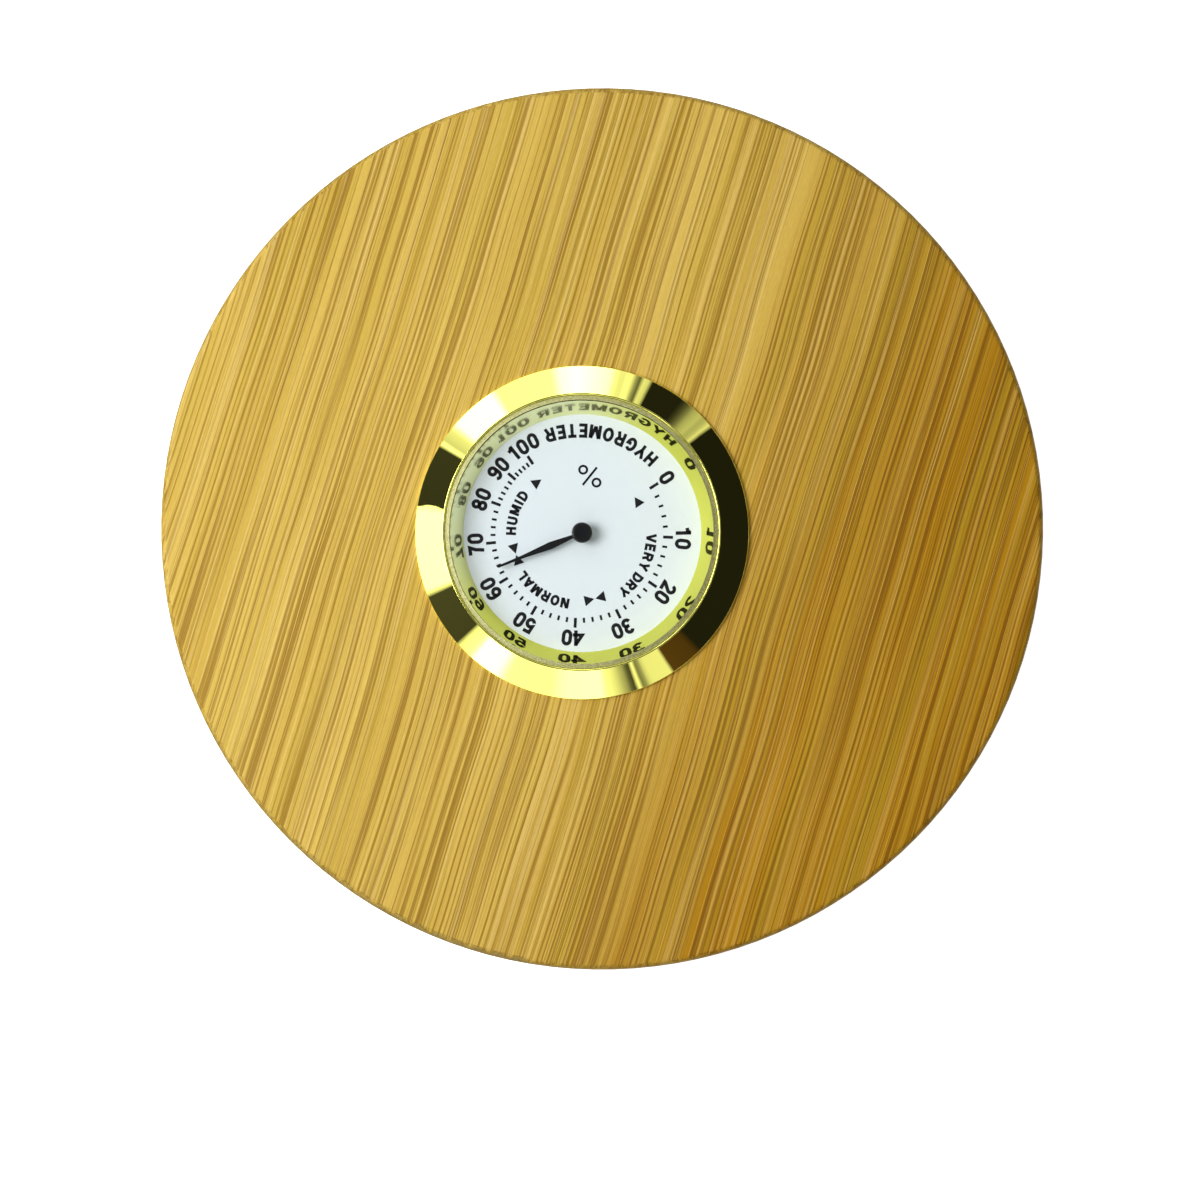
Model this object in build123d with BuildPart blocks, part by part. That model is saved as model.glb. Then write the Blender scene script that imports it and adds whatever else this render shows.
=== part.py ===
from build123d import *
from math import cos, radians, sin
import os

# A dial hygrometer pressed into a round bamboo plate. Millimetres, +Z up, +Y the way up of the dial.
# The origin is the middle of the plate's underside.

# Bamboo plate
disc_radius = 50.0
disc_thickness = 12.0
edge_round = 0.7
bore_radius = 16.6
bore_chamfer = 0.4
gauge_x, gauge_y = 2.0, 1.0  # the bore stands this far off the middle of the plate

# Bezel: a conical ring that rests on the plate
bezel_radius = 18.9
bezel_edge = 0.35
bezel_rise = 2.1
bezel_crest_radius = 15.7
window_radius = 15.5
lip_fillet = 0.1

# Crystal: a stepped clear disc whose flange is held under the bezel's lip
flange_radius = 16.1
flange_thickness = 0.5
crystal_radius = 15.46
crystal_thickness = 1.4
crystal_bevel = 0.55
gasket_thickness = 0.3

# Dial and reflector
dial_depth = 1.5  # how far its face lies below the top of the plate
dial_thickness = 0.6
dial_radius = 15.5
seen_dial_radius = 13.5
reflector_height = 2.5
reflector_top_radius = 14.9
reflector_foot = 0.7  # width of its flat rim on the dial
reflector_back_drop = 1.05  # where its back turns upright, below its top

# Case
case_radius = 16.3
case_bore = 15.6
shelf_drop = 0.7  # how far the shelf's collar reaches below the dial
body_radius = 15.0
body_bore = 14.0
case_edge = 0.4
cover_bottom = 1.6
cover_thickness = 0.8
groove_bottom, groove_top = 3.6, 8.0
groove_lip = 0.5
groove_lip_radius = 15.7
vent_count = 12
vent_length, vent_width = 5.0, 1.5
vent_circle = 9.6
access_radius = 3.2

# Rubber grip ring
grip_clearance = 0.05
grip_base_radius = 15.95
grip_fins = 4
fin_crest_start, fin_crest_end = 0.35, 0.6  # shares of a fin's pitch between which it is flat

# Movement
boss_circle = 12.0
boss_radius = 1.8
strap_bottom, strap_thickness = 4.0, 0.8
strap_eye_radius = 5.2
screw_radius, screw_head_radius, screw_head_height = 0.6, 1.15, 0.6
screw_length = 2.0
slot_width, slot_depth = 0.35, 0.3
running_clearance = 0.04

adjuster_stem_radius = 1.8
adjuster_head_radius, adjuster_head_height = 2.6, 0.8
adjuster_slot_width, adjuster_slot_depth = 0.7, 0.45
adjuster_flange_height = 0.6
washer_radius, washer_thickness = 2.5, 0.2
arm_thickness, arm_width = 0.4, 1.4
stud_circle = 8.6
stud_radius = 0.4
arm_angle = 215.0  # where the arm points, away from the slots of the strap

pivot_radius = 0.3
spindle_radius = 0.5
spindle_front_radius = 0.4
collet_radius = 1.4
coil_bottom, coil_height = 6.3, 1.8
coil_strip = 0.14
coil_half_turns = 11
bush_radius, bush_flange_radius, bush_flange_height = 1.05, 2.2, 0.5

# Pointer, with its widths along its length
pointer_gap, pointer_thickness = 0.75, 0.22
pointer_angle = 34.0  # points at 64 percent
pointer_ring_radius = 1.05
pointer_root = 0.7
pointer_neck, pointer_neck_half = 1.0, 0.19
pointer_belly, pointer_belly_half = 3.85, 0.42
pointer_waist, pointer_waist_half = 7.3, 0.18
pointer_tip, pointer_tip_half = 10.4, 0.13
hub_stem_radius, hub_radius, hub_height = 0.65, 1.17, 0.7
hub_drop = 0.25
hub_fillet = 0.18
hub_dish_radius, hub_dish_depth = 0.66, 0.12
hub_dimple_radius, hub_dimple_depth = 0.26, 0.08
hub_cap = 0.4  # depth of the hub over the end of the spindle

# Heights worked out from the dimensions above
dial_face = disc_thickness - dial_depth
pointer_bottom = dial_face + pointer_gap
crystal_bottom = dial_face + reflector_height
case_top = crystal_bottom - gasket_thickness
lip_bottom = crystal_bottom + flange_thickness
bezel_top = disc_thickness + bezel_rise
dial_back = dial_face - dial_thickness
shelf_bottom = dial_back - shelf_drop
cover_top = cover_bottom + cover_thickness
strap_top = strap_bottom + strap_thickness
adjuster_flange_bottom = strap_top + washer_thickness
adjuster_top = adjuster_flange_bottom + adjuster_flange_height
arm_top = adjuster_top + arm_thickness
coil_top = coil_bottom + coil_height
hub_top = pointer_bottom + pointer_thickness + hub_height
spindle_top = hub_top - hub_cap

gauge = (gauge_x, gauge_y, 0)
gauge_axis = Axis(gauge, (0, 0, 1))
section = Plane(origin=gauge, x_dir=(1, 0, 0), z_dir=(0, -1, 0))  # local X is radius, local Y is height


def level(height, angle=0.0):
    """The gauge's own horizontal plane at a height, turned by an angle in degrees."""
    turned = (cos(radians(angle)), sin(radians(angle)), 0)
    return Plane(origin=(gauge_x, gauge_y, height), x_dir=turned, z_dir=(0, 0, 1))


def outline(*points):
    """A closed outline of (radius, height) points, to be turned about the gauge's axis."""
    with BuildSketch(section) as face:
        with BuildLine():
            Polyline(*points, close=True)
        make_face()
    return face.sketch


# Bamboo plate with its bore
with BuildPart() as bamboo_disc:
    with BuildSketch():
        Circle(disc_radius)
        with Locations((gauge_x, gauge_y)):
            Circle(bore_radius, mode=Mode.SUBTRACT)
    extrude(amount=disc_thickness)
    rims = bamboo_disc.edges().filter_by(GeomType.CIRCLE)
    fillet(rims.filter_by(lambda e: abs(e.radius - disc_radius) < edge_round), edge_round)
    bore_rims = bamboo_disc.edges().filter_by(GeomType.CIRCLE)
    chamfer(bore_rims.filter_by(lambda e: abs(e.radius - bore_radius) < bore_chamfer), bore_chamfer)

# Rubber ring with fins that press on the wall of the bore
fin_pitch = (groove_top - groove_bottom - 2 * grip_clearance) / grip_fins
with BuildPart() as grip_ring:
    ring_bottom = groove_bottom + grip_clearance
    ring_edge = [(body_radius + grip_clearance, ring_bottom), (grip_base_radius, ring_bottom)]
    for fin in range(grip_fins):
        fin_bottom = ring_bottom + fin * fin_pitch
        fin_crest = bore_radius - grip_clearance
        ring_edge.append((fin_crest, fin_bottom + fin_crest_start * fin_pitch))
        ring_edge.append((fin_crest, fin_bottom + fin_crest_end * fin_pitch))
        ring_edge.append((grip_base_radius, fin_bottom + fin_pitch))
    ring_edge.append((body_radius + grip_clearance, groove_top - grip_clearance))
    revolve(outline(*ring_edge), axis=gauge_axis)

# Case: a stepped sleeve with a shelf for the dial, a groove for the rubber ring and two lugs for the strap
with BuildPart() as case_cup:
    revolve(
        outline(
            (body_bore, cover_bottom),
            (body_radius - case_edge, cover_bottom),
            (body_radius, cover_bottom + case_edge),
            (body_radius, groove_bottom - groove_lip),
            (groove_lip_radius, groove_bottom - groove_lip),
            (groove_lip_radius, groove_bottom),
            (body_radius, groove_bottom),
            (body_radius, groove_top),
            (groove_lip_radius, groove_top),
            (case_radius, shelf_bottom),
            (case_radius, case_top),
            (case_bore, case_top),
            (case_bore, dial_back),
            (body_bore, dial_back),
        ),
        axis=gauge_axis,
    )
    with BuildSketch(level(cover_top)):
        SlotCenterToCenter(2 * boss_circle, 2 * boss_radius)
        with PolarLocations(boss_circle + boss_radius, 2):
            Rectangle(2 * boss_radius, 2 * boss_radius)
        Circle(boss_circle - boss_radius, mode=Mode.SUBTRACT)
        Circle((body_bore + body_radius) / 2, mode=Mode.INTERSECT)
    extrude(amount=strap_bottom - cover_top)
    with Locations(level(strap_bottom)):
        with PolarLocations(boss_circle, 2):
            Hole(screw_radius, depth=screw_length - strap_thickness)

# Vented cover pressed into the back of the case, with a hole over the calibration screw
with BuildPart() as back_cover:
    with BuildSketch(level(cover_bottom)):
        Circle(body_bore)
        Circle(access_radius, mode=Mode.SUBTRACT)
        with PolarLocations(vent_circle, vent_count, start_angle=180 / vent_count):
            SlotOverall(vent_length, vent_width, mode=Mode.SUBTRACT)
    extrude(amount=cover_thickness)

# Strap across the case, with the hole that the calibration screw turns in
with BuildPart() as bridge_strap:
    with BuildSketch(level(strap_bottom)):
        SlotCenterToCenter(2 * boss_circle, 2 * boss_radius)
        Circle(strap_eye_radius)
        with PolarLocations(boss_circle, 2):
            Circle(screw_radius, mode=Mode.SUBTRACT)
        Circle(adjuster_stem_radius + running_clearance, mode=Mode.SUBTRACT)
    extrude(amount=strap_thickness)

# Two cheese-head screws that hold the strap on the bosses
with BuildPart() as bridge_screws:
    with BuildSketch(level(strap_top)):
        with PolarLocations(boss_circle, 2):
            Circle(screw_head_radius)
    extrude(amount=screw_head_height)
    with BuildSketch(level(strap_top)):
        with PolarLocations(boss_circle, 2):
            Circle(screw_radius)
    extrude(amount=-screw_length)
    with BuildSketch(level(strap_top + screw_head_height)):
        with PolarLocations(boss_circle, 2):
            Rectangle(slot_width, 2 * screw_head_radius)
    extrude(amount=-slot_depth, mode=Mode.SUBTRACT)

# Dial plate, clamped between the shelf and the reflector
with BuildPart() as dial_plate:
    with BuildSketch(level(dial_back)):
        Circle(dial_radius)
        Circle(bush_radius, mode=Mode.SUBTRACT)
    extrude(amount=dial_thickness)

# Front bearing of the spindle, flush with the dial's face
with BuildPart() as dial_bush:
    bush_bore = spindle_front_radius + running_clearance
    revolve(
        outline(
            (bush_bore, dial_back - bush_flange_height),
            (bush_flange_radius, dial_back - bush_flange_height),
            (bush_flange_radius, dial_back),
            (bush_radius, dial_back),
            (bush_radius, dial_face),
            (bush_bore, dial_face),
        ),
        axis=gauge_axis,
    )

# Conical reflector between the dial and the crystal
with BuildPart() as reflector_ring:
    revolve(
        outline(
            (seen_dial_radius, dial_face),
            (seen_dial_radius + reflector_foot, dial_face),
            (dial_radius, crystal_bottom - reflector_back_drop),
            (dial_radius, crystal_bottom),
            (reflector_top_radius, crystal_bottom),
        ),
        axis=gauge_axis,
    )

# Flat ring under the flange of the crystal
with BuildPart() as crystal_gasket:
    with BuildSketch(level(case_top)):
        Circle(flange_radius)
        Circle(case_bore, mode=Mode.SUBTRACT)
    extrude(amount=gasket_thickness)

# Crystal
with BuildPart() as crystal:
    with BuildSketch(level(crystal_bottom)):
        Circle(flange_radius)
    extrude(amount=flange_thickness)
    with BuildSketch(level(lip_bottom)):
        Circle(crystal_radius)
    extrude(amount=crystal_thickness - flange_thickness)
    chamfer(crystal.edges().group_by(Axis.Z)[-1], crystal_bevel)

# Bezel, pressed over the top of the case
with BuildPart() as bezel:
    revolve(
        outline(
            (case_radius, disc_thickness),
            (bezel_radius, disc_thickness),
            (bezel_radius, disc_thickness + bezel_edge),
            (bezel_crest_radius, bezel_top),
            (window_radius, bezel_top),
            (window_radius, lip_bottom),
            (case_radius, lip_bottom),
        ),
        axis=gauge_axis,
    )
    fillet(bezel.edges().group_by(Axis.Z)[-1], lip_fillet)
    circles = bezel.edges().filter_by(GeomType.CIRCLE)
    outer_rims = circles.filter_by(lambda e: abs(e.radius - bezel_radius) < lip_fillet)
    fillet(outer_rims.sort_by(Axis.Z)[-1], lip_fillet)

# Calibration screw: slotted head below the strap, flange above it, pivot hole in its top
with BuildPart() as adjuster:
    pivot_hole = pivot_radius + running_clearance
    head_bottom = strap_bottom - adjuster_head_height
    revolve(
        outline(
            (0, head_bottom),
            (adjuster_head_radius, head_bottom),
            (adjuster_head_radius, strap_bottom - running_clearance),
            (adjuster_stem_radius, strap_bottom - running_clearance),
            (adjuster_stem_radius, adjuster_flange_bottom + running_clearance),
            (adjuster_head_radius, adjuster_flange_bottom + running_clearance),
            (adjuster_head_radius, adjuster_top),
            (pivot_hole, adjuster_top),
            (pivot_hole, strap_top),
            (0, strap_top),
        ),
        axis=gauge_axis,
    )
    with BuildSketch(level(head_bottom)):
        Rectangle(2 * adjuster_head_radius, adjuster_slot_width)
    extrude(amount=adjuster_slot_depth, mode=Mode.SUBTRACT)

# Washer between the strap and the flange of the calibration screw
with BuildPart() as friction_washer:
    with BuildSketch(level(strap_top)):
        Circle(washer_radius)
        Circle(adjuster_stem_radius + running_clearance, mode=Mode.SUBTRACT)
    extrude(amount=washer_thickness)

# Arm from the calibration screw to the outer end of the coil
with BuildPart() as adjuster_arm:
    with BuildSketch(level(adjuster_top, arm_angle)):
        Circle(adjuster_head_radius)
        with Locations((stud_circle / 2, 0)):
            SlotCenterToCenter(stud_circle, arm_width)
        with Locations((stud_circle, 0)):
            Circle(stud_radius, mode=Mode.SUBTRACT)
        Circle(spindle_radius + 2 * running_clearance, mode=Mode.SUBTRACT)
    extrude(amount=arm_thickness)

# Pin at the end of the arm, slit for the strip
with BuildPart() as coil_stud:
    with BuildSketch(level(adjuster_top, arm_angle)):
        with Locations((stud_circle, 0)):
            Circle(stud_radius)
    extrude(amount=coil_top - adjuster_top)

# Spindle: rear pivot, shoulder for the collet, and front journal that carries the pointer
with BuildPart() as spindle:
    shoulder = dial_back - bush_flange_height - 2 * running_clearance
    revolve(
        outline(
            (0, strap_top + 2 * running_clearance),
            (pivot_radius, strap_top + 2 * running_clearance),
            (pivot_radius, adjuster_top + running_clearance),
            (spindle_radius, adjuster_top + running_clearance),
            (spindle_radius, shoulder),
            (spindle_front_radius, shoulder),
            (spindle_front_radius, spindle_top),
            (0, spindle_top),
        ),
        axis=gauge_axis,
    )

# Collar that holds the inner end of the coil
with BuildPart() as coil_collet:
    with BuildSketch(level(coil_bottom)):
        Circle(collet_radius)
        Circle(spindle_radius, mode=Mode.SUBTRACT)
    extrude(amount=coil_height)

# Sensing coil: half turns that grow step by step, on two centres in turn so that each meets the next
coil_start = collet_radius + running_clearance + coil_strip / 2
coil_end = stud_circle - stud_radius - coil_strip / 2
growth = (coil_end - coil_start) / coil_half_turns
with BuildPart() as sensing_coil:
    with BuildSketch(level(coil_bottom, arm_angle)):
        with BuildLine() as strip:
            for half in range(coil_half_turns):
                side = 1 if half % 2 == 0 else -1
                radius = coil_start + (half + 0.5) * growth
                CenterArc((side * growth / 2, 0), radius, 180 if side > 0 else 0, 180)
        trace(strip.line, line_width=coil_strip)
    extrude(amount=coil_height)

# Pointer blade: a lance with a narrow neck and a fine tip
with BuildPart() as pointer:
    with BuildSketch(level(pointer_bottom, pointer_angle)):
        with BuildLine():
            Polyline(
                (pointer_root, 0),
                (pointer_root, pointer_neck_half),
                (pointer_neck, pointer_neck_half),
                (pointer_belly, pointer_belly_half),
                (pointer_waist, pointer_waist_half),
                (pointer_tip - pointer_tip_half, pointer_tip_half),
                (pointer_tip, 0),
                close=True,
            )
        make_face()
        mirror(about=Plane.XZ)
        Circle(pointer_ring_radius)
        Circle(hub_stem_radius, mode=Mode.SUBTRACT)
    extrude(amount=pointer_thickness)

# Cap that is pressed on the end of the spindle and holds the blade
with BuildPart() as pointer_hub:
    blade_top = pointer_bottom + pointer_thickness
    dish_floor = hub_top - hub_dish_depth
    revolve(
        outline(
            (0, spindle_top),
            (spindle_front_radius, spindle_top),
            (spindle_front_radius, pointer_bottom - hub_drop),
            (hub_stem_radius, pointer_bottom - hub_drop),
            (hub_stem_radius, blade_top),
            (hub_radius, blade_top),
            (hub_radius, hub_top),
            (hub_dish_radius, hub_top),
            (hub_dish_radius, dish_floor),
            (hub_dimple_radius, dish_floor),
            (hub_dimple_radius, dish_floor - hub_dimple_depth),
            (0, dish_floor - hub_dimple_depth),
        ),
        axis=gauge_axis,
    )
    circles = pointer_hub.edges().filter_by(GeomType.CIRCLE)
    outer_rims = circles.filter_by(lambda e: abs(e.radius - hub_radius) < hub_fillet)
    fillet(outer_rims.sort_by(Axis.Z)[-1], hub_fillet)

pieces = {
    "bamboo_disc": bamboo_disc,
    "grip_ring": grip_ring,
    "case_cup": case_cup,
    "back_cover": back_cover,
    "bridge_strap": bridge_strap,
    "bridge_screws": bridge_screws,
    "friction_washer": friction_washer,
    "dial_plate": dial_plate,
    "dial_bush": dial_bush,
    "reflector_ring": reflector_ring,
    "crystal_gasket": crystal_gasket,
    "crystal": crystal,
    "bezel": bezel,
    "adjuster": adjuster,
    "adjuster_arm": adjuster_arm,
    "coil_stud": coil_stud,
    "sensing_coil": sensing_coil,
    "coil_collet": coil_collet,
    "spindle": spindle,
    "pointer": pointer,
    "pointer_hub": pointer_hub,
}
os.makedirs("parts", exist_ok=True)
for name, piece in pieces.items():
    piece.part.label = name
    export_step(piece.part, f"parts/{name}.step")
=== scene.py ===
"""Looks of the dial hygrometer in its bamboo plate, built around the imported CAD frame.

Lengths are metres. The gauge's own axis is vertical and passes through the middle of its bezel.
"""
import math

import bmesh
import bpy
from mathutils import Matrix, Vector
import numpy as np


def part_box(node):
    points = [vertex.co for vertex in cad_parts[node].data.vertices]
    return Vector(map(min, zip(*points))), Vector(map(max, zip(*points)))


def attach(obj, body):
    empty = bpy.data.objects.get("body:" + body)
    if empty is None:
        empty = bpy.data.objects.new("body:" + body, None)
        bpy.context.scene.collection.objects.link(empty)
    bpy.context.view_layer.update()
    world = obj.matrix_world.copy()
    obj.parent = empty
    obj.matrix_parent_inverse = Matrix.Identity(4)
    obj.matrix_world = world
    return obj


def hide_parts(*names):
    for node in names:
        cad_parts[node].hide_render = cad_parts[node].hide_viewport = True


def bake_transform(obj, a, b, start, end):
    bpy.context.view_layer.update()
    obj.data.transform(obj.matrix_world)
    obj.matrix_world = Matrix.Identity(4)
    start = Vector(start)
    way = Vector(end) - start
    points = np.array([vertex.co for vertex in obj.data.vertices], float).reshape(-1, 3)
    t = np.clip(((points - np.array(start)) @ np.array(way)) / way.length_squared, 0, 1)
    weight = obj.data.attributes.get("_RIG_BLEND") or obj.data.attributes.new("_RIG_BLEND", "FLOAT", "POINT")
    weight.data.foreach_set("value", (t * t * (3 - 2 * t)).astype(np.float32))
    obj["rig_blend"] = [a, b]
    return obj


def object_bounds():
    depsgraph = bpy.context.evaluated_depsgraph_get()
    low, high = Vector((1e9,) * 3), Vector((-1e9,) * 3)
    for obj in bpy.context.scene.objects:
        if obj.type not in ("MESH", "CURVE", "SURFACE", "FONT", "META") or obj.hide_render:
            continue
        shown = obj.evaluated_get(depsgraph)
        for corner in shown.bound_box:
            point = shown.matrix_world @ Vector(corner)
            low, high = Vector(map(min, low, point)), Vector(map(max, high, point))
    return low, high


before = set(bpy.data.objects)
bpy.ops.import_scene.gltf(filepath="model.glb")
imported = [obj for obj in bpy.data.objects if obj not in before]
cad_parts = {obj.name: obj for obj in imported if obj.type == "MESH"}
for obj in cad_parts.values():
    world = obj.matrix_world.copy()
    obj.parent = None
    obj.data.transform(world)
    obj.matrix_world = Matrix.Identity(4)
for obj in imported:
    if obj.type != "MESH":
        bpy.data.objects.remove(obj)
cad_low, cad_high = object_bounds()

MM = 0.001

# ---- Places read from the frame --------------------------------------------------------------
bezel_low, bezel_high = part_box("bezel")
gauge = Vector(((bezel_low.x + bezel_high.x) / 2, (bezel_low.y + bezel_high.y) / 2, 0))
plate_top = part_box("bamboo_disc")[1].z
dial_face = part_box("dial_plate")[1].z

# ---- How the dial lies under the camera ------------------------------------------------------
dial_turn = 168.0  # the dial stands turned by this much in the picture, in degrees


def on_dial(picture_angle):
    """Row angle in radians of a direction given as the camera sees it, anticlockwise from its right."""
    return math.radians(picture_angle - dial_turn)


def heading(picture_angle):
    """Unit vector of such a direction in the row frame."""
    angle = on_dial(picture_angle)
    return Vector((math.cos(angle), math.sin(angle), 0))


# ---- Camera ----------------------------------------------------------------------------------
camera_distance = 0.600
camera_lean = math.radians(2.2)
camera_side = -50.0  # the camera leans towards the lower right of the picture
camera_lens = 159.1
aim_drop = 8.2 * MM  # the plate's middle stands this far above the middle of the picture
aim_right = -0.12 * MM  # and this far to the left of it
to_camera = math.sin(camera_lean) * heading(camera_side) + Vector((0, 0, math.cos(camera_lean)))


def make_camera():
    aim = Vector((0, 0, plate_top)) + aim_drop * heading(-90) + aim_right * heading(0)
    back = to_camera
    right = heading(90).cross(back).normalized()
    up = back.cross(right)
    camera = bpy.data.objects.new("camera", bpy.data.cameras.new("camera"))
    camera.data.sensor_width = 36
    camera.data.lens = camera_lens
    turn = Matrix((right, up, back)).transposed().to_4x4()
    camera.matrix_world = Matrix.Translation(aim + camera_distance * back) @ turn
    bpy.context.scene.collection.objects.link(camera)
    bpy.context.scene.camera = camera


# ---- Shader nodes ----------------------------------------------------------------------------
class Nodes:
    """A node tree that is filled one node at a time."""

    def __init__(self, tree):
        self.tree = tree
        self.tree.nodes.clear()

    def node(self, kind, inputs=(), **settings):
        made = self.tree.nodes.new(kind)
        for key, value in settings.items():
            setattr(made, key, value)
        for key, value in dict(inputs).items():
            if isinstance(value, bpy.types.NodeSocket):
                self.tree.links.new(value, made.inputs[key])
            else:
                made.inputs[key].default_value = value
        return made

    def math(self, operation, a, b=0.0, clamp=False):
        made = self.node("ShaderNodeMath", {0: a, 1: b}, operation=operation, use_clamp=clamp)
        return made.outputs[0]

    def span(self, value, low, high, to_low=0.0, to_high=1.0, smooth=False):
        made = self.node(
            "ShaderNodeMapRange",
            {"Value": value, "From Min": low, "From Max": high, "To Min": to_low, "To Max": to_high},
            interpolation_type="SMOOTHSTEP" if smooth else "LINEAR",
        )
        return made.outputs["Result"]

    def mix(self, share, a, b, blend="MIX"):
        made = self.node("ShaderNodeMix", data_type="RGBA", blend_type=blend)
        for key, value in ((0, share), (6, a), (7, b)):
            if isinstance(value, bpy.types.NodeSocket):
                self.tree.links.new(value, made.inputs[key])
            else:
                made.inputs[key].default_value = value
        return made.outputs[2]


class Shader(Nodes):
    """The nodes of one material."""

    def __init__(self, name):
        self.material = bpy.data.materials.new(name)
        self.material.use_nodes = True
        super().__init__(self.material.node_tree)

    def place(self, scale=(1, 1, 1), turn=0.0):
        """Object coordinates in millimetres, turned about Z and scaled."""
        where = self.node("ShaderNodeTexCoord").outputs["Object"]
        in_mm = self.node("ShaderNodeMapping", {"Vector": where, "Rotation": (0, 0, turn)})
        in_mm.inputs["Scale"].default_value = (1 / MM, 1 / MM, 1 / MM)
        fitted = self.node("ShaderNodeMapping", {"Vector": in_mm.outputs[0]})
        fitted.inputs["Scale"].default_value = scale
        return fitted.outputs[0]

    def noise(self, vector, scale=1.0, detail=2.0, roughness=0.5):
        inputs = {"Vector": vector, "Scale": scale, "Detail": detail, "Roughness": roughness}
        return self.node("ShaderNodeTexNoise", inputs).outputs[0]

    def bump(self, height, strength, distance):
        inputs = {"Height": height, "Strength": strength, "Distance": distance}
        return self.node("ShaderNodeBump", inputs).outputs[0]

    def surface(self, **inputs):
        """Ends the material with a Principled shader."""
        named = {key.replace("_", " "): value for key, value in inputs.items()}
        shader = self.node("ShaderNodeBsdfPrincipled", named)
        self.node("ShaderNodeOutputMaterial", {"Surface": shader.outputs[0]})
        return self.material


def colour(red, green, blue):
    """Linear colour of an ordinary 0 to 255 screen colour."""

    def linear(c):
        c /= 255
        return c / 12.92 if c <= 0.04045 else ((c + 0.055) / 1.055) ** 2.4

    return (linear(red), linear(green), linear(blue), 1)


# ---- Materials -------------------------------------------------------------------------------
grain_turn = math.radians(5)  # the grain runs this far off the dial's own upright


class Grain(Shader):
    """A wood material, with places across the grain, along it and up, all in mm."""

    def __init__(self, name, turn):
        super().__init__(name)
        self.turn = turn
        where = self.node("ShaderNodeSeparateXYZ", {0: self.place((1, 1, 1), turn)}).outputs
        drift = self.noise(self.place((0.03, 0.03, 0.03), turn), detail=1)
        self.across = self.math("ADD", where[0], self.math("MULTIPLY", drift, 2.0))
        self.along, self.height = where[1], where[2]
        # The boards' own tone, plus painted shade that darkens the plate towards -X
        self.tone_and_shade = self.board_tone_and_shade()

    def streaks(self, per_mm, length, detail=2.0):
        """Noise that is drawn out along the grain."""
        across = self.math("MULTIPLY", self.across, per_mm)
        along = self.math("DIVIDE", self.along, length)
        height = self.math("MULTIPLY", self.height, per_mm)
        where = self.node("ShaderNodeCombineXYZ", {0: across, 1: along, 2: height})
        return self.noise(where.outputs[0], detail=detail)

    def bundles(self, pitch, core, edge, faintest, length):
        """Bundles of fibres of a mean pitch in mm, of chance strength, fading along the grain."""
        across = self.math("DIVIDE", self.across, pitch)
        height = self.math("DIVIDE", self.height, pitch)
        where = self.node("ShaderNodeCombineXYZ", {0: across, 1: height}).outputs[0]
        cells = self.node("ShaderNodeTexVoronoi", {"Vector": where}, voronoi_dimensions="2D").outputs
        near = self.span(cells["Distance"], core, edge, 1.0, 0.0, smooth=True)
        strength = self.span(cells["Color"], faintest, 0.75)
        fade = self.span(self.streaks(0.8 / pitch, length, 1.0), 0.36, 0.56, 0.15, 1.0)
        return self.math("MULTIPLY", near, self.math("MULTIPLY", strength, fade))

    def board_tone_and_shade(self):
        """Strips glued side by side, each from pale, 0, to brown, 1, with slow changes within them, plus
        painted shade that browns the plate towards -X.
        """
        strip = self.node("ShaderNodeTexVoronoi", {"W": self.across, "Scale": 0.23}, voronoi_dimensions="1D")
        strip_tone = self.span(strip.outputs["Color"], 0.25, 0.75, 0.0, 0.16)
        slow_tone = self.span(self.streaks(0.5, 160), 0.36, 0.64, 0.0, 0.22)
        slant = self.math("SUBTRACT", self.across, self.math("MULTIPLY", self.along, 0.1))
        painted_side_shade = self.span(slant, -40, 12, 0.85, 0.0, smooth=True)  # painted shade: darker and browner towards -X, away from the lamp
        return self.math("ADD", self.math("ADD", strip_tone, slow_tone), painted_side_shade, clamp=True)

    def toned_and_shaded(self, pale, brown):
        """A colour that turns from its pale to its brown with the tone of the boards and the painted shade
        towards -X.
        """
        return self.mix(self.tone_and_shade, colour(*pale), colour(*brown))

    def end_grain_and_tilt(self):
        """How far the surface cuts across the fibres, and how far it tilts from upright on the rim and its
        rounded edge; the larger of the two.
        """
        facing = self.node("ShaderNodeTexCoord").outputs["Normal"]
        grain_way = (-math.sin(self.turn), math.cos(self.turn), 0)
        end_on = self.node("ShaderNodeVectorMath", {0: facing, 1: grain_way}, operation="DOT_PRODUCT")
        square_on = self.math("ABSOLUTE", end_on.outputs["Value"])
        upright = self.node("ShaderNodeSeparateXYZ", {0: facing}).outputs[2]
        rounded_edge = self.span(self.math("ABSOLUTE", upright), 0.5, 0.995, 0.75, 0.0)
        return self.math("MAXIMUM", self.span(square_on, 0.1, 0.8, 0.0, 0.55, smooth=True), rounded_edge)


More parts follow.
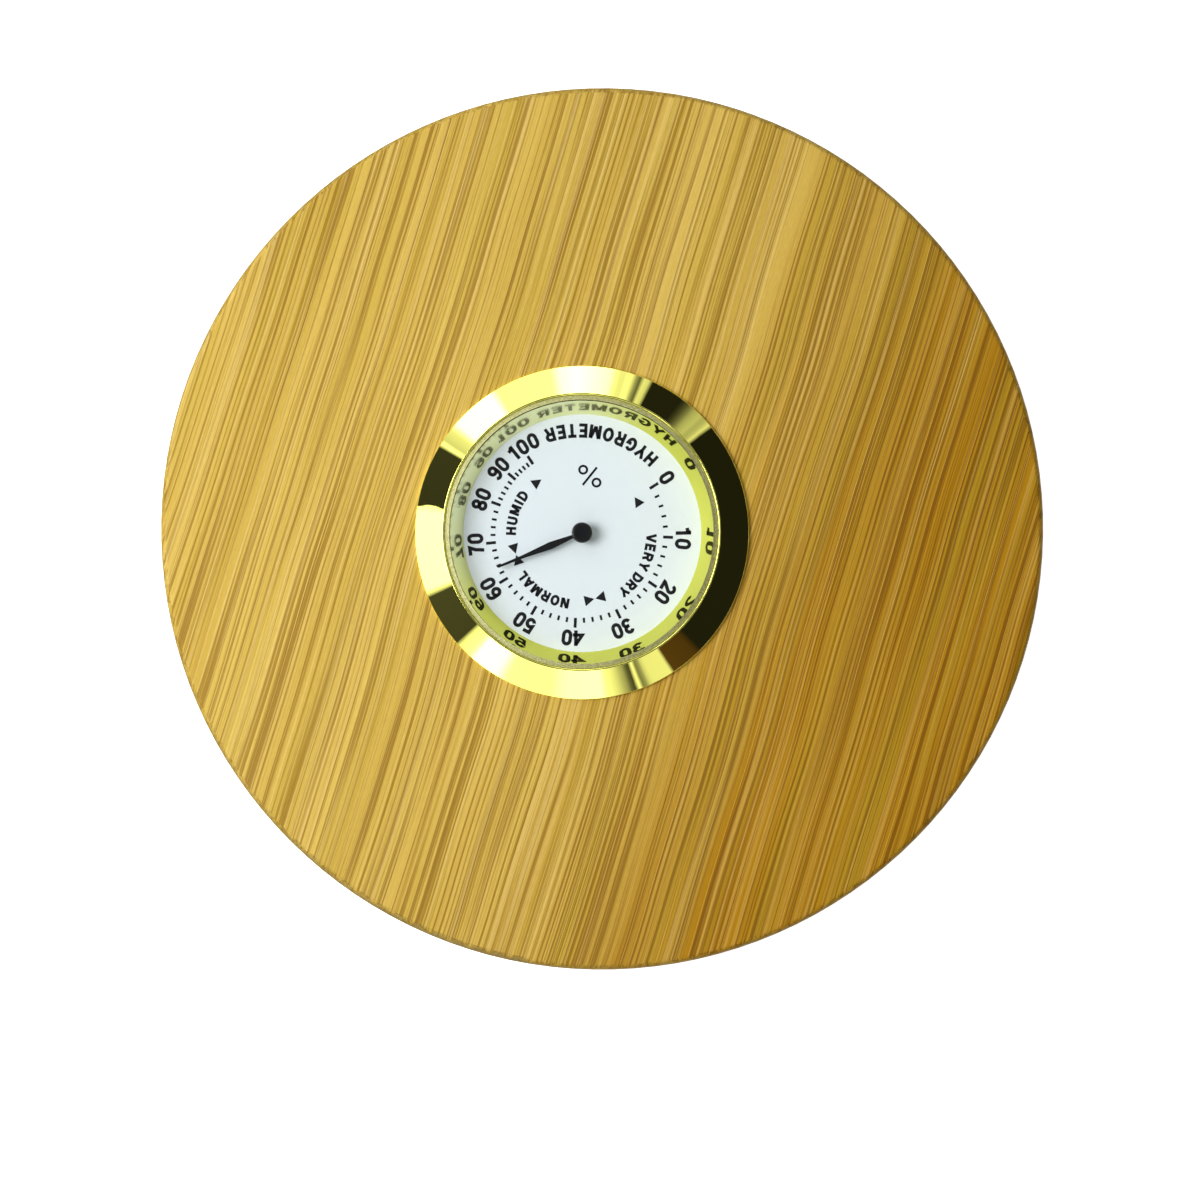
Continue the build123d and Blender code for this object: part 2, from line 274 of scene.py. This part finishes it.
def bamboo():
    """Laminated bamboo: long fibre bundles that show as lines on the faces and as dots on end grain."""
    s = Grain("bamboo", grain_turn)
    green = s.span(s.streaks(0.33, 120), 0.46, 0.66, 0.0, 0.45)
    base = s.mix(green, s.toned_and_shaded((220, 188, 90), (174, 126, 16)), colour(186, 156, 40))

    # Fine fibres under dark bundles, which crowd together in places, and pale threads
    hair = s.math("MULTIPLY", s.span(s.streaks(3.6, 70, 4.0), 0.47, 0.60), 0.7)
    base = s.mix(hair, base, s.toned_and_shaded((136, 96, 12), (104, 62, 0)))
    pale = s.math("MULTIPLY", s.span(s.streaks(2.4, 70, 3.0), 0.54, 0.66), 0.55)
    base = s.mix(pale, base, s.toned_and_shaded((232, 204, 122), (212, 168, 74)))
    dark = s.toned_and_shaded((116, 82, 6), (66, 30, 0))
    crowd = s.span(s.streaks(0.32, 200), 0.42, 0.58, 0.4, 1.0)
    thin = s.math("MULTIPLY", s.bundles(0.56, 0.12, 0.30, 0.1, 45), crowd)
    wide = s.math("MULTIPLY", s.bundles(1.05, 0.10, 0.24, 0.1, 70), crowd)
    base = s.mix(wide, s.mix(thin, base, dark), dark)
    thread = s.bundles(0.8, 0.03, 0.15, 0.15, 50)
    base = s.mix(thread, base, s.toned_and_shaded((238, 212, 134), (232, 190, 104)))
    speck = s.noise(s.place((9, 0.8, 9), grain_turn), detail=3, roughness=0.7)
    base = s.mix(s.span(speck, 0.35, 0.65, 0.0, 0.14), base, colour(96, 60, 12))
    # Darker olive where the surface cuts across the fibres and where it tilts from upright, on the rim and
    # its rounded edge
    base = s.mix(s.end_grain_and_tilt(), base, colour(118, 98, 28))

    height_map = s.math("SUBTRACT", s.math("MULTIPLY", thread, 0.4), s.math("ADD", wide, thin))
    rough = s.span(speck, 0.3, 0.7, 0.38, 0.5)
    relief = s.bump(height_map, 0.3, 0.04 * MM)
    return s.surface(Base_Color=base, Roughness=rough, Normal=relief, Specular_IOR_Level=0.12)


def toned_down(tint, share):
    """The same tint, darker."""
    return tuple(max(0.0, share * c) for c in tint[:3]) + (1,)


def gold(name, tint, roughness):
    """Bright gold plate with hairline polishing marks and a few faint rub marks."""
    s = Shader(name)
    rub = s.noise(s.place((0.35, 0.35, 0.35)), detail=5, roughness=0.65)
    smear = s.span(rub, 0.35, 0.75, roughness * 0.7, roughness * 1.8)
    fine = s.noise(s.place((30, 30, 30)), detail=2)
    shade = s.mix(s.span(rub, 0.4, 0.8, 0.0, 0.15), tint, toned_down(tint, 0.9))
    return s.surface(
        Base_Color=shade, Metallic=1.0, Roughness=smear, Normal=s.bump(fine, 0.03, 0.002 * MM)
    )


def mirror_gold(name, tint, glare_tint):
    """Gold mirror of the reflector, with painted glare: paler, less metallic and rougher where it faces the
    lower right of the picture.
    """
    s = Shader(name)
    facing = s.node("ShaderNodeTexCoord").outputs["Normal"]
    # Painted glare: a pale, milky patch on the side that faces the lower right of the picture
    towards = s.node("ShaderNodeVectorMath", {0: facing, 1: heading(-42)}, operation="DOT_PRODUCT")
    painted_glare = s.span(towards.outputs["Value"], 0.05, 0.75, smooth=True)
    cloud = s.noise(s.place((0.3, 0.3, 0.3)), detail=4)
    painted_glare = s.math("MULTIPLY", painted_glare, s.span(cloud, 0.3, 0.7, 0.75, 1.0))
    return s.surface(
        Base_Color=s.mix(painted_glare, tint, glare_tint), Metallic=s.span(painted_glare, 0, 1, 1.0, 0.8),
        Roughness=s.span(painted_glare, 0, 1, 0.03, 0.14), Specular_IOR_Level=0.3,
    )


def clear_crystal():
    """Clear moulded window with a bevel. Its faces mirror at grazing angles; the bevel has a painted
    refraction.
    """
    s = Shader("crystal")
    haze = s.noise(s.place((0.2, 0.2, 0.2)), detail=3)
    clear = s.node("ShaderNodeBsdfTransparent", {"Color": (0.985, 0.99, 0.985, 1)})
    gloss = s.node("ShaderNodeBsdfGlossy", {"Roughness": s.span(haze, 0.3, 0.7, 0.015, 0.05)})
    facing_away = s.node("ShaderNodeLayerWeight", {"Blend": 0.5}).outputs["Facing"]
    mirror = s.math("ADD", s.math("MULTIPLY", s.math("POWER", facing_away, 5.0), 0.9), 0.035)
    window = s.node("ShaderNodeMixShader", {0: mirror, 1: clear.outputs[0], 2: gloss.outputs[0]})
    # Painted refraction: the bevel shows a pale yellow-grey tint with a little sparkle, standing in for
    # light refracted through it from the sides
    facing = s.node("ShaderNodeSeparateXYZ", {0: s.node("ShaderNodeTexCoord").outputs["Normal"]}).outputs[2]
    on_bevel = s.math("MULTIPLY", s.span(facing, 0.85, 0.95, 1.0, 0.0), s.span(facing, 0.45, 0.55))
    sparkle = s.noise(s.place((7, 7, 7)), detail=2, roughness=0.7)
    refraction_tint = s.mix(s.span(sparkle, 0.35, 0.65), colour(150, 149, 82), colour(218, 216, 160))
    painted_refraction = s.node("ShaderNodeBsdfPrincipled", {"Base Color": refraction_tint, "Roughness": 0.3})
    share = s.math("MULTIPLY", on_bevel, s.span(sparkle, 0.3, 0.7, 0.7, 0.95))
    both = s.node("ShaderNodeMixShader", {0: share, 1: window.outputs[0], 2: painted_refraction.outputs[0]})
    s.node("ShaderNodeOutputMaterial", {"Surface": both.outputs[0]})
    return s.material


def enamel(name, tint, roughness, mottle=0.04, grain=12.0, relief=0.15, shine=0.5):
    """Painted, moulded or printed surface with a fine even texture."""
    s = Shader(name)
    broad = s.noise(s.place((0.12, 0.12, 0.12)), detail=3)
    fine = s.noise(s.place((grain, grain, grain)), detail=3, roughness=0.6)
    share = s.math("ADD", s.span(broad, 0.3, 0.7, 0, 0.5), s.span(fine, 0.3, 0.7, 0, 0.5), clamp=True)
    rough = s.span(fine, 0.3, 0.7, roughness * 0.85, roughness * 1.15)
    return s.surface(
        Base_Color=s.mix(share, tint, toned_down(tint, 1 - 3 * mottle)), Roughness=rough,
        Normal=s.bump(fine, relief, 0.01 * MM), Specular_IOR_Level=shine,
    )


def worked_metal(name, tint, roughness):
    """Turned or stamped metal with fine tool marks."""
    s = Shader(name)
    marks = s.noise(s.place((3, 40, 40)), detail=3, roughness=0.6)
    stain = s.noise(s.place((0.5, 0.5, 0.5)), detail=4)
    shade = s.mix(s.span(stain, 0.35, 0.7, 0, 0.35), tint, toned_down(tint, 0.7))
    rough = s.span(marks, 0.3, 0.7, roughness * 0.75, roughness * 1.3)
    return s.surface(Base_Color=shade, Metallic=1.0, Roughness=rough, Normal=s.bump(marks, 0.1, 0.01 * MM))


def dress(things, material):
    """Gives objects one material."""
    for thing in things:
        thing.data.materials.clear()
        thing.data.materials.append(material)
        for face in thing.data.polygons:
            face.material_index = 0


def dress_nodes(names, material):
    dress([bpy.data.objects[name] for name in names], material)


# ---- Camera, and the looks of the CAD nodes --------------------------------------------------
make_camera()
dress_nodes(["bamboo_disc"], bamboo())
dress_nodes(["bezel"], gold("bezel_gold", (0.92, 0.89, 0.2, 1), 0.016))
# The last colour is the pale tint of the reflector's painted glare
dress_nodes(["reflector_ring"], mirror_gold("reflector_gold", (0.68, 0.67, 0.09, 1), (0.88, 0.90, 0.52, 1)))
dress_nodes(["crystal"], clear_crystal())
dress_nodes(["dial_plate"], enamel("dial_white", (0.80, 0.87, 0.93, 1), 0.45, mottle=0.01, relief=0.05))
dress_nodes(["pointer"], enamel("pointer_black", (0.005, 0.005, 0.006, 1), 0.4, shine=0.12))
dress_nodes(["pointer_hub"], enamel("hub_black", (0.008, 0.008, 0.009, 1), 0.18, relief=0.03, shine=0.4))
dress_nodes(["case_cup", "back_cover"], enamel("case_plastic", (0.03, 0.03, 0.032, 1), 0.5, relief=0.4))
dress_nodes(["grip_ring"], enamel("rubber", (0.02, 0.02, 0.021, 1), 0.75, grain=6, relief=0.5))
dress_nodes(["crystal_gasket"], enamel("gasket", (0.7, 0.7, 0.66, 1), 0.6))
steel = worked_metal("steel", (0.55, 0.55, 0.56, 1), 0.3)
brass = worked_metal("brass", (0.78, 0.56, 0.22, 1), 0.25)
dress_nodes(["bridge_strap", "bridge_screws", "friction_washer", "adjuster_arm", "spindle"], steel)
dress_nodes(["adjuster", "dial_bush", "coil_stud", "coil_collet"], brass)

# ---- Printing on the dial --------------------------------------------------------------------
print_height = dial_face + 0.02 * MM
print_depth = 0.03 * MM


class Print:
    """Flat shapes laid on the dial, gathered into one thin piece."""

    def __init__(self):
        self.bm = bmesh.new()

    def lay(self, loops, x, y, turn, size=1.0):
        """Adds closed loops of 2-D points, scaled, turned by an angle and moved to a place."""
        c, s = size * math.cos(turn), size * math.sin(turn)
        for loop in loops:
            corners = [(x + c * u - s * v, y + s * u + c * v, print_height) for u, v in loop]
            self.bm.faces.new([self.bm.verts.new(corner) for corner in corners])

    def finish(self, name, look):
        bmesh.ops.remove_doubles(self.bm, verts=self.bm.verts, dist=1e-8)
        tops = list(self.bm.faces)
        grown = bmesh.ops.extrude_face_region(self.bm, geom=tops, use_keep_orig=True)
        sunk = [v for v in grown["geom"] if isinstance(v, bmesh.types.BMVert)]
        bmesh.ops.translate(self.bm, verts=sunk, vec=(0, 0, -print_depth))
        bmesh.ops.recalc_face_normals(self.bm, faces=self.bm.faces)
        mesh = bpy.data.meshes.new(name)
        self.bm.to_mesh(mesh)
        self.bm.free()
        piece = bpy.data.objects.new(name, mesh)
        bpy.context.scene.collection.objects.link(piece)
        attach(piece, "gauge")
        dress([piece], look)


# The dial is printed a little off the axis of the pointer
print_middle = gauge.xy + 0.36 * MM * heading(197).xy


def on_circle(radius, angle):
    return print_middle.x + radius * math.cos(angle), print_middle.y + radius * math.sin(angle)


def bow(cx, cy, rx, ry, start, end):
    """Points along part of an ellipse, angles in degrees."""
    steps = max(4, round(abs(end - start) / 15))
    angles = [math.radians(start + (end - start) * k / steps) for k in range(steps + 1)]
    return [(cx + rx * math.cos(a), cy + ry * math.sin(a)) for a in angles]


def band(path, weight):
    """Quads of one pen stroke of an even weight along a path; a path that ends where it starts is closed."""
    closed = math.dist(path[0], path[-1]) < 1e-6
    points = [Vector(p) for p in (path[:-1] if closed else path)]
    n = len(points)
    left, right = [], []
    for k, point in enumerate(points):
        before = points[k - 1] if closed or k > 0 else None
        after = points[(k + 1) % n] if closed or k < n - 1 else None
        ways = [(b - a).normalized() for a, b in ((before, point), (point, after)) if a and b]
        way = sum(ways, Vector((0, 0))).normalized()
        stretch = weight / 2 / max(0.5, way.dot(ways[0]))
        side = stretch * Vector((-way.y, way.x))
        left.append(point + side)
        right.append(point - side)
    pairs = range(n if closed else n - 1)
    return [(right[k], right[(k + 1) % n], left[(k + 1) % n], left[k]) for k in pairs]


# A bold upright alphabet in units of its own height: the width of each sign, then its pen strokes
numeral_ring = bow(0.27, 0.66, 0.18, 0.25, 0, 180) + bow(0.27, 0.34, 0.18, 0.25, 180, 360) + [(0.45, 0.66)]
letter_ring = bow(0.33, 0.5, 0.24, 0.41, 0, 360)
signs = {
    "0": (0.54, [numeral_ring]),
    "1": (0.44, [[(0.29, 0), (0.29, 1)], [(0.03, 0.735), (0.17, 0.77), (0.27, 0.92)]]),
    "2": (0.54, [bow(0.27, 0.69, 0.18, 0.22, 175, -35) + [(0.11, 0.16), (0.09, 0.09), (0.52, 0.09)]]),
    "3": (0.54, [bow(0.26, 0.70, 0.17, 0.21, 160, -90) + [(0.18, 0.49)],
                 bow(0.27, 0.30, 0.18, 0.21, 90, -165)]),
    "4": (0.58, [[(0.4, 0), (0.4, 1)], [(0.4, 0.92), (0.06, 0.3), (0.56, 0.3)]]),
    "5": (0.54, [[(0.48, 0.91), (0.14, 0.91), (0.1, 0.47)] + bow(0.27, 0.33, 0.18, 0.24, 130, -160)]),
    "6": (0.54, [bow(0.27, 0.31, 0.18, 0.22, 0, 360), bow(0.29, 0.6, 0.2, 0.31, 40, 180) + [(0.09, 0.33)]]),
    "7": (0.52, [[(0.03, 0.91), (0.44, 0.91), (0.3, 0.55), (0.22, 0)]]),
    "8": (0.54, [bow(0.27, 0.71, 0.16, 0.2, 0, 360), bow(0.27, 0.29, 0.18, 0.2, 0, 360)]),
    "9": (0.54, [bow(0.27, 0.69, 0.18, 0.22, 0, 360), bow(0.25, 0.4, 0.2, 0.31, -140, 0) + [(0.45, 0.67)]]),
    "A": (0.66, [[(0.08, 0), (0.33, 1)], [(0.58, 0), (0.33, 1)], [(0.18, 0.27), (0.48, 0.27)]]),
    "D": (0.62, [[(0.09, 0.09)] + bow(0.25, 0.5, 0.28, 0.41, -90, 90) + [(0.09, 0.91), (0.09, 0.09)]]),
    "E": (0.54, [[(0.52, 0.09), (0.09, 0.09), (0.09, 0.91), (0.51, 0.91)], [(0.09, 0.51), (0.47, 0.51)]]),
    "G": (0.66, [bow(0.33, 0.5, 0.24, 0.41, 42, 322) + [(0.57, 0.46), (0.34, 0.46)]]),
    "H": (0.60, [[(0.09, 0), (0.09, 1)], [(0.51, 0), (0.51, 1)], [(0.09, 0.52), (0.51, 0.52)]]),
    "I": (0.18, [[(0.09, 0), (0.09, 1)]]),
    "L": (0.50, [[(0.09, 1), (0.09, 0.09), (0.48, 0.09)]]),
    "M": (0.74, [[(0.09, 0), (0.09, 1)], [(0.65, 0), (0.65, 1)],
                 [(0.12, 1), (0.37, 0.1)], [(0.62, 1), (0.37, 0.1)]]),
    "N": (0.62, [[(0.09, 0), (0.09, 1)], [(0.53, 0), (0.53, 1)], [(0.12, 0.98), (0.5, 0.02)]]),
    "O": (0.66, [letter_ring]),
    "R": (0.62, [[(0.09, 0), (0.09, 0.91)] + bow(0.34, 0.7, 0.18, 0.21, 90, -90) + [(0.09, 0.49)],
                 [(0.36, 0.46), (0.52, 0)]]),
    "T": (0.56, [[(0.02, 0.91), (0.54, 0.91)], [(0.28, 0), (0.28, 0.91)]]),
    "U": (0.60, [[(0.09, 1), (0.09, 0.35)] + bow(0.3, 0.32, 0.21, 0.23, 180, 360) + [(0.51, 1)]]),
    "V": (0.62, [[(0.06, 1), (0.31, 0)], [(0.56, 1), (0.31, 0)]]),
    "Y": (0.62, [[(0.06, 1), (0.31, 0.42)], [(0.56, 1), (0.31, 0.42)], [(0.31, 0), (0.31, 0.5)]]),
}


def set_sign(sheet, sign, x, y, turn, face):
    """Prints one sign with its middle at a place."""
    size, wide, weight = face
    width, strokes = signs[sign]
    for stroke in strokes:
        path = [(wide * (u - width / 2), v - 0.5) for u, v in stroke]
        sheet.lay(band(path, weight), x, y, turn, size)


def set_word(sheet, word, radius, start, end, face):
    """Prints a word along a circle between two directions in the picture; clockwise, its tops point out."""
    size, wide, _ = face
    widths = [size * wide * signs[sign][0] for sign in word]
    gap = (math.radians(abs(end - start)) * radius - sum(widths)) / (len(word) - 1)
    sense = 1 if end > start else -1
    along = 0.0
    for sign, width in zip(word, widths):
        angle = on_dial(start) + sense * (along + width / 2) / radius
        set_sign(sheet, sign, *on_circle(radius, angle), angle + sense * math.pi / 2, face)
        along += width + gap


# Where each ten percent stands in the picture, from 0 to 100
decades = (392.8, 357.9, 325.5, 296.0, 267.4, 239.2, 211.5, 185.7, 159.9, 139.5, 123.5)
tick_inner, minor_outer, major_outer = 9.52 * MM, 10.08 * MM, 10.64 * MM
minor_width, major_width = 0.25 * MM, 0.33 * MM
scale_sheet = Print()


def tick(picture_angle, outer, width):
    low, high, half = tick_inner, outer, width / 2
    bar = [(low, -half), (high, -half), (high, half), (low, half)]
    scale_sheet.lay([bar], print_middle.x, print_middle.y, on_dial(picture_angle))


for k, place in enumerate(decades):
    tick(place, major_outer, major_width)
    if k + 1 < len(decades):
        for part in range(1, 5):
            tick(place + (decades[k + 1] - place) * part / 5, minor_outer, minor_width)

# Arrow heads that bound the three ranges: the direction of the tip in the picture, +1 anticlockwise
arrow_radius, arrow_length, arrow_half = 7.55 * MM, 1.12 * MM, 0.61 * MM
for tip, sense in ((33.7, 1), (124.7, -1), (197.2, 1), (198.2, -1), (283.0, 1), (284.0, -1)):
    angle = on_dial(tip)
    head = [(0, 0), (-arrow_length, arrow_half), (-arrow_length, -arrow_half)]
    scale_sheet.lay([head], *on_circle(arrow_radius, angle), angle + sense * math.pi / 2)

# Percent sign, upright on the dial
percent_radius, percent_direction = 6.68 * MM, 79.7
percent_ring, percent_weight = 0.44 * MM, 0.25 * MM
percent_x, percent_y = on_circle(percent_radius, on_dial(percent_direction))
for side in (-1, 1):
    ring = bow(side * 0.89 * MM, -side * 0.56 * MM, percent_ring, percent_ring, 0, 360)
    scale_sheet.lay(band(ring, percent_weight), percent_x, percent_y, 0)
slash = [(-0.58 * MM, -1.15 * MM), (0.58 * MM, 1.15 * MM)]
scale_sheet.lay(band(slash, percent_weight), percent_x, percent_y, 0)

ink_look = enamel("ink", (0.008, 0.008, 0.01, 1), 0.5, relief=0.05, shine=0.1)
scale_sheet.finish("dial_scale", ink_look)

lettering = Print()
# A face is the height of its capitals, how much it is widened, and the weight of its strokes
number_face = (1.76 * MM, 1.22, 0.225)
title_face = (1.54 * MM, 1.16, 0.235)
word_face = (1.14 * MM, 1.28, 0.27)
number_radius, title_radius = 11.82 * MM, 11.76 * MM
digit_pitch = 1.23 * MM
# Each number stands near its mark: by how far it is moved along the scale, in degrees
number_shift = (0.0, -0.3, 0.2, -1.4, -1.1, -0.9, 0.2, 0.0, 0.6, 1.5, -1.0)
for k, (place, shift) in enumerate(zip(decades, number_shift)):
    number, place = str(10 * k), place + shift
    if len(number) == 1:
        angle = on_dial(place)
        set_sign(lettering, number, *on_circle(number_radius, angle), angle - math.pi / 2, number_face)
    else:
        half_span = math.degrees(digit_pitch * len(number) / 2 / number_radius)
        set_word(lettering, number, number_radius, place + half_span, place - half_span, number_face)
for word, radius, start, end in (("HUMID", 7.75 * MM, 180.6, 142.4), ("NORMAL", 8.0 * MM, 261.4, 213.4),
                                 ("VERY", 8.2 * MM, 359.8, 330.2), ("DRY", 8.25 * MM, 326.0, 304.8)):
    set_word(lettering, word, radius, start, end, word_face)
set_word(lettering, "HYGROMETER", title_radius, 43.8, 109.2, title_face)
lettering.finish("dial_lettering", ink_look)

# ---- Sensing coil ----------------------------------------------------------------------------
coil_low, coil_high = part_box("sensing_coil")
half_turns = 11
coil_strip = 0.14 * MM
collet_gap = 0.04 * MM


def make_coil():
    """The strip wound from the collet out to the stud; it winds up as the pointer swings."""
    stud_low, stud_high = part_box("coil_stud")
    collet_low, collet_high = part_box("coil_collet")
    stud = (stud_low + stud_high) / 2
    outer = math.hypot(stud.x - gauge.x, stud.y - gauge.y) - (stud_high.x - stud_low.x) / 2 - coil_strip / 2
    inner = (collet_high.x - collet_low.x) / 2 + collet_gap + coil_strip / 2
    ends_at = math.atan2(stud.y - gauge.y, stud.x - gauge.x)
    growth = (outer - inner) / half_turns
    steps = 36  # in each half turn
    points = []
    for half in range(half_turns):
        side = 1 if half % 2 == 0 else -1
        radius = inner + (half + 0.5) * growth
        for step in range(steps + (half == half_turns - 1)):
            angle = math.pi * (1 + half + step / steps)
            points.append((side * growth / 2 + radius * math.cos(angle), radius * math.sin(angle)))
    turned_by = Matrix.Rotation(ends_at, 2)
    points = [turned_by @ Vector(p) for p in points]
    vertices, faces = [], []
    low, high = coil_low.z, coil_high.z
    for k, point in enumerate(points):
        way = (points[min(k + 1, len(points) - 1)] - points[max(k - 1, 0)]).normalized()
        side = coil_strip / 2 * Vector((-way.y, way.x))
        for edge, level in ((side, low), (-side, low), (-side, high), (side, high)):
            vertices.append((gauge.x + point.x + edge.x, gauge.y + point.y + edge.y, level))
        if k:
            for c in range(4):
                after = (c + 1) % 4
                faces.append([4 * k - 4 + c, 4 * k - 4 + after, 4 * k + after, 4 * k + c])
    faces += [[3, 2, 1, 0], [4 * len(points) - 4 + c for c in range(4)]]
    mesh = bpy.data.meshes.new("coil_spiral")
    mesh.from_pydata(vertices, [], faces)
    piece = bpy.data.objects.new("coil_spiral", mesh)
    bpy.context.scene.collection.objects.link(piece)
    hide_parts("sensing_coil")
    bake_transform(piece, "calibration", "movement", stud, (gauge.x, gauge.y, stud.z))
    # Each turn of the strip takes its share of the pointer's swing
    share = mesh.attributes["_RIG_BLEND"]
    for k in range(len(points)):
        for c in range(4):
            share.data[4 * k + c].value = 1 - k / (len(points) - 1)
    return piece


dress([make_coil()], worked_metal("coil_strip", (0.7, 0.42, 0.25, 1), 0.35))

# ---- Floor and light -------------------------------------------------------------------------
def make_floor():
    reach, gap = 4.0, 0.02 * MM
    data = bpy.data.meshes.new("floor")
    corners = [(-reach, -reach, 0), (reach, -reach, 0), (reach, reach, 0), (-reach, reach, 0)]
    data.from_pydata(corners, [], [(0, 1, 2, 3)])
    floor = bpy.data.objects.new("floor", data)
    bpy.context.scene.collection.objects.link(floor)
    floor.location.z = cad_low.z - gap
    s = Shader("floor")
    dress([floor], s.surface(Base_Color=(0.9, 0.9, 0.9, 1), Roughness=0.9,
                             Emission_Color=(1, 1, 1, 1), Emission_Strength=0.9))


make_floor()

bezel_slope = math.radians(28.7)


def mirrored(picture_angle):
    """Picture direction of the light that the cone of the bezel mirrors at this picture direction."""
    normal = math.sin(bezel_slope) * heading(picture_angle) + Vector((0, 0, math.cos(bezel_slope)))
    ray = 2 * normal.dot(to_camera) * normal - to_camera
    return (math.degrees(math.atan2(ray.y, ray.x)) + dial_turn) % 360


# Brightness of the tent's panels at directions in the picture where the bezel shows them
panel_stops = (
    (39.7, 0.013), (40.4, 1.0), (42.3, 0.55), (44, 0.45), (45.5, 0.62), (48, 0.42), (50, 0.14),
    (52, 0.05), (53.6, 0.016), (65.4, 0.016), (66.2, 0.75), (68.6, 1.0), (69.3, 0.12), (70.3, 0.14),
    (71.2, 0.5), (73, 1.4), (76, 0.85), (78.2, 1.4), (80, 3.0), (92, 5.0), (98, 4.0), (101, 1.6),
    (121, 1.5), (123, 5.0), (138.5, 4.8), (140.5, 1.1), (146, 0.75), (146.9, 1.8), (147.6, 1.6),
    (148.4, 0.045), (170.0, 0.04), (170.6, 3.0), (200.4, 2.8), (201.0, 0.07), (221.4, 0.06),
    (222.1, 1.3), (227, 1.6), (229, 5.0), (238, 4.8), (242, 1.6), (258, 1.5), (264, 2.6), (277, 2.8),
    (279, 1.3), (283, 0.9), (285.5, 0.5), (287.3, 0.3), (288.2, 0.06), (289.5, 0.06), (290, 1.4),
    (291, 1.2), (291.6, 0.4), (292.2, 0.08), (292.9, 0.09), (293.6, 0.6), (295.5, 0.95), (303.2, 1.0),
    (303.9, 0.1), (314, 0.08), (316, 0.014),
)
strongest_panel = 5.0
brown_panel = (1.0, 0.5, 0.2)
brown_from, brown_to = 303.5, 315

# The tent's parts from low to high, by the height of their direction above the floor: the sine of its angle
panels_start, panels_full = 0.32, 0.44
panels_fade, ceiling_full = 0.70, 0.80
ceiling_fade, zenith_full = 0.955, 0.98
wall_light = (0.7, 0.7, 0.7, 1)
ceiling_light = (0.9, 0.9, 0.9, 1)
zenith_light = (0.06, 0.06, 0.065, 1)
on_matt_surfaces = (0.3, 0.3, 0.31, 1)  # they take most of their light from the lamp instead
seen_by_camera = (0.97, 0.97, 0.97, 1)


def panel_ramp(w, around, stops):
    """Colour ramp of some of the tent's panels; a ramp holds 32 stops."""
    ramp = w.node("ShaderNodeValToRGB", {0: around})
    for k, (position, light, tint) in enumerate(stops):
        stop = ramp.color_ramp.elements[k] if k < 2 else ramp.color_ramp.elements.new(position)
        stop.position = position
        stop.color = tuple(light / strongest_panel * c for c in tint) + (1,)
    return ramp.outputs[0]


def make_world():
    """A light tent: plain walls, panels that the bezel mirrors, a soft ceiling and a dim zenith."""
    world = bpy.data.worlds.new("tent")
    bpy.context.scene.world = world
    world.use_nodes = True
    w = Nodes(world.node_tree)
    where = w.node("ShaderNodeTexCoord").outputs["Generated"]
    # The gradient is turned so that it counts directions in the picture, from 0 at its right
    turn = (0, 0, math.radians(dial_turn) + math.pi)
    turned = w.node("ShaderNodeMapping", {0: where, "Rotation": turn}).outputs[0]
    around = w.node("ShaderNodeTexGradient", {0: turned}, gradient_type="RADIAL").outputs["Fac"]
    lift = w.node("ShaderNodeSeparateXYZ", {0: where}).outputs["Z"]

    stops = []
    for angle, light in panel_stops:
        tint = brown_panel if brown_from < angle < brown_to else (1, 1, 1)
        stops.append((mirrored(angle) / 360, light, tint))
    stops.sort()
    middle = len(stops) // 2
    first, second = panel_ramp(w, around, stops[:middle + 1]), panel_ramp(w, around, stops[middle:])
    panels = w.mix(w.math("GREATER_THAN", around, stops[middle][0]), first, second)
    bright = w.node("ShaderNodeVectorMath", {0: panels, "Scale": strongest_panel}, operation="SCALE")

    tent = w.mix(w.span(lift, panels_start, panels_full, smooth=True), wall_light, bright.outputs[0])
    tent = w.mix(w.span(lift, panels_fade, ceiling_full, smooth=True), tent, ceiling_light)
    tent = w.mix(w.span(lift, ceiling_fade, zenith_full, smooth=True), tent, zenith_light)
    ray = w.node("ShaderNodeLightPath").outputs
    dimmed = w.mix(ray["Is Diffuse Ray"], (1, 1, 1, 1), on_matt_surfaces)
    lit = w.mix(1.0, tent, dimmed, blend="MULTIPLY")
    background = w.node("ShaderNodeBackground", {"Color": w.mix(ray["Is Camera Ray"], lit, seen_by_camera)})
    w.node("ShaderNodeOutputWorld", {"Surface": background.outputs[0]})


make_world()


def soft_light(name, picture_side, reach, height, size, power):
    """Square lamp that faces the plate."""
    lamp = bpy.data.lights.new(name, "AREA")
    lamp.size = size
    lamp.energy = power
    holder = bpy.data.objects.new(name, lamp)
    holder.location = reach * heading(picture_side) + Vector((0, 0, height))
    holder.rotation_mode = "QUATERNION"
    holder.rotation_quaternion = holder.location.to_track_quat("Z", "Y")
    bpy.context.scene.collection.objects.link(holder)


soft_light("key", 175, 0.22, 0.27, 0.2, 1.18)
bpy.context.scene.view_settings.view_transform = "Standard"
